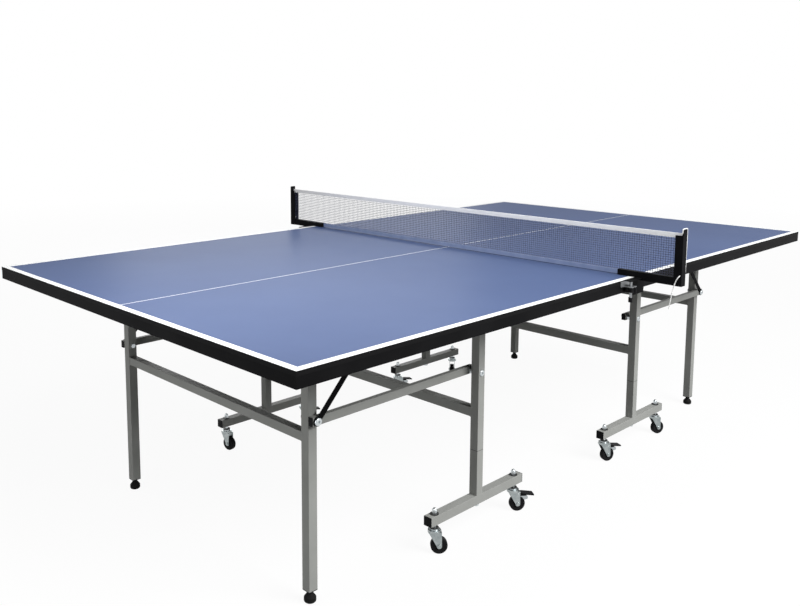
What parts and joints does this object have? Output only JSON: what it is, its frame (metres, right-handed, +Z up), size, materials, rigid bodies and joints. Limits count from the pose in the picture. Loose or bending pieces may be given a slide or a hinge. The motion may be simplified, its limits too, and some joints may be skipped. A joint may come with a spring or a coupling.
{
  "type": "ping pong table",
  "caption": "Roll-away table-tennis table: framed blue playing surface in halves that fold up over wheeled frames, with a lift-off net set.",
  "frame": {"origin": "on the floor, under the middle of the net", "axes": "+X along the table's length from the left half to the right half, -Y the front side, +Z up"},
  "size_m": [2.74, 1.8303, 0.9286],
  "materials": {
    "top_blue": "matt blue lacquer on a wood-fibre panel",
    "black_paint": "satin black powder coat",
    "grey_paint": "satin grey powder coat",
    "zinc": "bright zinc plating",
    "black_plastic": "moulded, satin",
    "black_rubber": "matt",
    "wheel_black": "moulded, matt",
    "net_blue": "knotted net with a woven tape",
    "cord_white": "braided"
  },
  "bodies": {
    "left_wheel_frame": {"left_post_frame": "grey_paint", "left_caster_bases": "grey_paint", "left_bar_end_caps": "black_plastic", "left_frame_bolts": "zinc", "left_caster_stems": "zinc"},
    "left_top": {"left_table_top": "top_blue", "left_top_frame": "black_paint", "left_hinge_brackets": "black_paint", "net_keepers": "zinc"},
    "left_leg_frame": {"left_leg_frame": "grey_paint", "left_leg_plugs": "black_plastic", "left_leg_pivot_bolts": "zinc"},
    "left_tie_rods": {"left_tie_rods": "grey_paint", "left_tie_rod_caps": "black_plastic"},
    "left_stays": {"left_stays": "black_paint"},
    "left_foot_front": {"left_foot_front": "black_rubber"},
    "left_fork_front_outer": {"left_caster_fork_front_outer": "zinc"},
    "left_wheel_front_outer": {"left_caster_wheel_front_outer": "wheel_black"},
    "left_fork_front_inner": {"left_caster_fork_front_inner": "zinc"},
    "left_wheel_front_inner": {"left_caster_wheel_front_inner": "wheel_black"},
    "left_pedal_front": {"left_brake_pedal_front": "black_plastic"},
    "left_foot_back": {"left_foot_back": "black_rubber"},
    "left_fork_back_outer": {"left_caster_fork_back_outer": "zinc"},
    "left_wheel_back_outer": {"left_caster_wheel_back_outer": "wheel_black"},
    "left_fork_back_inner": {"left_caster_fork_back_inner": "zinc"},
    "left_wheel_back_inner": {"left_caster_wheel_back_inner": "wheel_black"},
    "left_pedal_back": {"left_brake_pedal_back": "black_plastic"},
    "right_wheel_frame": {"right_post_frame": "grey_paint", "right_caster_bases": "grey_paint", "right_bar_end_caps": "black_plastic", "right_frame_bolts": "zinc", "right_caster_stems": "zinc"},
    "right_top": {"right_table_top": "top_blue", "right_top_frame": "black_paint", "right_hinge_brackets": "black_paint"},
    "right_leg_frame": {"right_leg_frame": "grey_paint", "right_leg_plugs": "black_plastic", "right_leg_pivot_bolts": "zinc"},
    "right_tie_rods": {"right_tie_rods": "grey_paint", "right_tie_rod_caps": "black_plastic"},
    "right_stays": {"right_stays": "black_paint"},
    "right_foot_front": {"right_foot_front": "black_rubber"},
    "right_fork_front_outer": {"right_caster_fork_front_outer": "zinc"},
    "right_wheel_front_outer": {"right_caster_wheel_front_outer": "wheel_black"},
    "right_fork_front_inner": {"right_caster_fork_front_inner": "zinc"},
    "right_wheel_front_inner": {"right_caster_wheel_front_inner": "wheel_black"},
    "right_pedal_front": {"right_brake_pedal_front": "black_plastic"},
    "right_foot_back": {"right_foot_back": "black_rubber"},
    "right_fork_back_outer": {"right_caster_fork_back_outer": "zinc"},
    "right_wheel_back_outer": {"right_caster_wheel_back_outer": "wheel_black"},
    "right_fork_back_inner": {"right_caster_fork_back_inner": "zinc"},
    "right_wheel_back_inner": {"right_caster_wheel_back_inner": "wheel_black"},
    "right_pedal_back": {"right_brake_pedal_back": "black_plastic"},
    "net_set": {"net_bracket_front": "black_paint", "net_bracket_back": "black_paint", "net_posts": "black_paint", "net": "net_blue", "net_cord": "cord_white"},
    "keeper_screw_front": {"keeper_screw_front": "black_plastic"},
    "keeper_screw_back": {"keeper_screw_back": "black_plastic"}
  },
  "joints": [
    {"name": "left_fold", "type": "hinge", "parent": "left_wheel_frame", "child": "left_top", "pos_m": [-0.467, 0, 0.698], "axis": [0, 1, 0], "range_deg": [0, 90]},
    {"name": "left_legs_upright", "type": "hinge", "parent": "left_top", "child": "left_leg_frame", "pos_m": [-1.077, 0, 0.698], "axis": [0, 1, 0], "range_deg": [-90, 0]},
    {"name": "left_tie_rods_swing", "type": "hinge", "parent": "left_wheel_frame", "child": "left_tie_rods", "pos_m": [-0.467, 0, 0.5], "axis": [0, 1, 0], "range_deg": [0, 90]},
    {"name": "left_stays_fold", "type": "hinge", "parent": "left_tie_rods", "child": "left_stays", "pos_m": [-1.077, 0, 0.5], "axis": [0, 1, 0], "range_deg": [0, 46]},
    {"name": "left_foot_front_height", "type": "slide", "parent": "left_leg_frame", "child": "left_foot_front", "axis": [0, 0, -1], "range_m": [0, 0.015]},
    {"name": "left_swivel_front_outer", "type": "hinge", "parent": "left_wheel_frame", "child": "left_fork_front_outer", "pos_m": [-0.657, -0.518, 0.08], "axis": [0, 0, 1], "continuous": true},
    {"name": "left_roll_front_outer", "type": "hinge", "parent": "left_fork_front_outer", "child": "left_wheel_front_outer", "pos_m": [-0.6466, -0.52737, 0.025], "axis": [0.6691, 0.7431, 0], "continuous": true},
    {"name": "left_swivel_front_inner", "type": "hinge", "parent": "left_wheel_frame", "child": "left_fork_front_inner", "pos_m": [-0.277, -0.518, 0.08], "axis": [0, 0, 1], "continuous": true},
    {"name": "left_roll_front_inner", "type": "hinge", "parent": "left_fork_front_inner", "child": "left_wheel_front_inner", "pos_m": [-0.26567, -0.52623, 0.025], "axis": [0.5878, 0.809, 0], "continuous": true},
    {"name": "left_brake_front", "type": "hinge", "parent": "left_fork_front_inner", "child": "left_pedal_front", "pos_m": [-0.26648, -0.52564, 0.058], "axis": [-0.5878, -0.809, 0], "range_deg": [0, 15]},
    {"name": "left_foot_back_height", "type": "slide", "parent": "left_leg_frame", "child": "left_foot_back", "axis": [0, 0, -1], "range_m": [0, 0.015]},
    {"name": "left_swivel_back_outer", "type": "hinge", "parent": "left_wheel_frame", "child": "left_fork_back_outer", "pos_m": [-0.657, 0.518, 0.08], "axis": [0, 0, 1], "continuous": true},
    {"name": "left_roll_back_outer", "type": "hinge", "parent": "left_fork_back_outer", "child": "left_wheel_back_outer", "pos_m": [-0.65457, 0.50421, 0.025], "axis": [0.9848, 0.1736, 0], "continuous": true},
    {"name": "left_swivel_back_inner", "type": "hinge", "parent": "left_wheel_frame", "child": "left_fork_back_inner", "pos_m": [-0.277, 0.518, 0.08], "axis": [0, 0, 1], "continuous": true},
    {"name": "left_roll_back_inner", "type": "hinge", "parent": "left_fork_back_inner", "child": "left_wheel_back_inner", "pos_m": [-0.26384, 0.51321, 0.025], "axis": [0.342, 0.9397, 0], "continuous": true},
    {"name": "left_brake_back", "type": "hinge", "parent": "left_fork_back_inner", "child": "left_pedal_back", "pos_m": [-0.26478, 0.51355, 0.058], "axis": [-0.342, -0.9397, 0], "range_deg": [0, 15]},
    {"name": "halves_apart", "type": "slide", "parent": "left_wheel_frame", "child": "right_wheel_frame", "axis": [1, 0, 0], "range_m": [0, 0.6]},
    {"name": "right_fold", "type": "hinge", "parent": "right_wheel_frame", "child": "right_top", "pos_m": [0.467, 0, 0.698], "axis": [0, -1, 0], "range_deg": [0, 90]},
    {"name": "right_legs_upright", "type": "hinge", "parent": "right_top", "child": "right_leg_frame", "pos_m": [1.077, 0, 0.698], "axis": [0, -1, 0], "range_deg": [-90, 0]},
    {"name": "right_tie_rods_swing", "type": "hinge", "parent": "right_wheel_frame", "child": "right_tie_rods", "pos_m": [0.467, 0, 0.5], "axis": [0, -1, 0], "range_deg": [0, 90]},
    {"name": "right_stays_fold", "type": "hinge", "parent": "right_tie_rods", "child": "right_stays", "pos_m": [1.077, 0, 0.5], "axis": [0, -1, 0], "range_deg": [0, 46]},
    {"name": "right_foot_front_height", "type": "slide", "parent": "right_leg_frame", "child": "right_foot_front", "axis": [0, 0, -1], "range_m": [0, 0.015]},
    {"name": "right_swivel_front_outer", "type": "hinge", "parent": "right_wheel_frame", "child": "right_fork_front_outer", "pos_m": [0.657, -0.518, 0.08], "axis": [0, 0, 1], "continuous": true},
    {"name": "right_roll_front_outer", "type": "hinge", "parent": "right_fork_front_outer", "child": "right_wheel_front_outer", "pos_m": [0.66969, -0.52392, 0.025], "axis": [0.4226, 0.9063, 0], "continuous": true},
    {"name": "right_swivel_front_inner", "type": "hinge", "parent": "right_wheel_frame", "child": "right_fork_front_inner", "pos_m": [0.277, -0.518, 0.08], "axis": [0, 0, 1], "continuous": true},
    {"name": "right_roll_front_inner", "type": "hinge", "parent": "right_fork_front_inner", "child": "right_wheel_front_inner", "pos_m": [0.28979, -0.52369, 0.025], "axis": [0.4067, 0.9135, 0], "continuous": true},
    {"name": "right_brake_front", "type": "hinge", "parent": "right_fork_front_inner", "child": "right_pedal_front", "pos_m": [0.28888, -0.52329, 0.058], "axis": [-0.4067, -0.9135, 0], "range_deg": [0, 15]},
    {"name": "right_foot_back_height", "type": "slide", "parent": "right_leg_frame", "child": "right_foot_back", "axis": [0, 0, -1], "range_m": [0, 0.015]},
    {"name": "right_swivel_back_outer", "type": "hinge", "parent": "right_wheel_frame", "child": "right_fork_back_outer", "pos_m": [0.657, 0.518, 0.08], "axis": [0, 0, 1], "continuous": true},
    {"name": "right_roll_back_outer", "type": "hinge", "parent": "right_fork_back_outer", "child": "right_wheel_back_outer", "pos_m": [0.64628, 0.509, 0.025], "axis": [0.6428, -0.766, 0], "continuous": true},
    {"name": "right_swivel_back_inner", "type": "hinge", "parent": "right_wheel_frame", "child": "right_fork_back_inner", "pos_m": [0.277, 0.518, 0.08], "axis": [0, 0, 1], "continuous": true},
    {"name": "right_roll_back_inner", "type": "hinge", "parent": "right_fork_back_inner", "child": "right_wheel_back_inner", "pos_m": [0.29016, 0.51321, 0.025], "axis": [0.342, 0.9397, 0], "continuous": true},
    {"name": "right_brake_back", "type": "hinge", "parent": "right_fork_back_inner", "child": "right_pedal_back", "pos_m": [0.28922, 0.51355, 0.058], "axis": [-0.342, -0.9397, 0], "range_deg": [0, 15]},
    {"name": "net_lift", "type": "slide", "parent": "left_wheel_frame", "child": "net_set", "axis": [0, 0, 1], "range_m": [0, 0.3]},
    {"name": "keeper_screw_front_height", "type": "slide", "parent": "left_top", "child": "keeper_screw_front", "axis": [0, 0, -1], "range_m": [0, 0.012]},
    {"name": "keeper_screw_back_height", "type": "slide", "parent": "left_top", "child": "keeper_screw_back", "axis": [0, 0, -1], "range_m": [0, 0.012]}
  ],
  "couplings": [
    {"joint": "left_legs_upright", "follows": "left_fold", "ratio": -1},
    {"joint": "left_tie_rods_swing", "follows": "left_fold", "ratio": 1},
    {"joint": "left_stays_fold", "follows": "left_fold", "ratio": 0.511},
    {"joint": "right_legs_upright", "follows": "right_fold", "ratio": -1},
    {"joint": "right_tie_rods_swing", "follows": "right_fold", "ratio": 1},
    {"joint": "right_stays_fold", "follows": "right_fold", "ratio": 0.511}
  ]
}
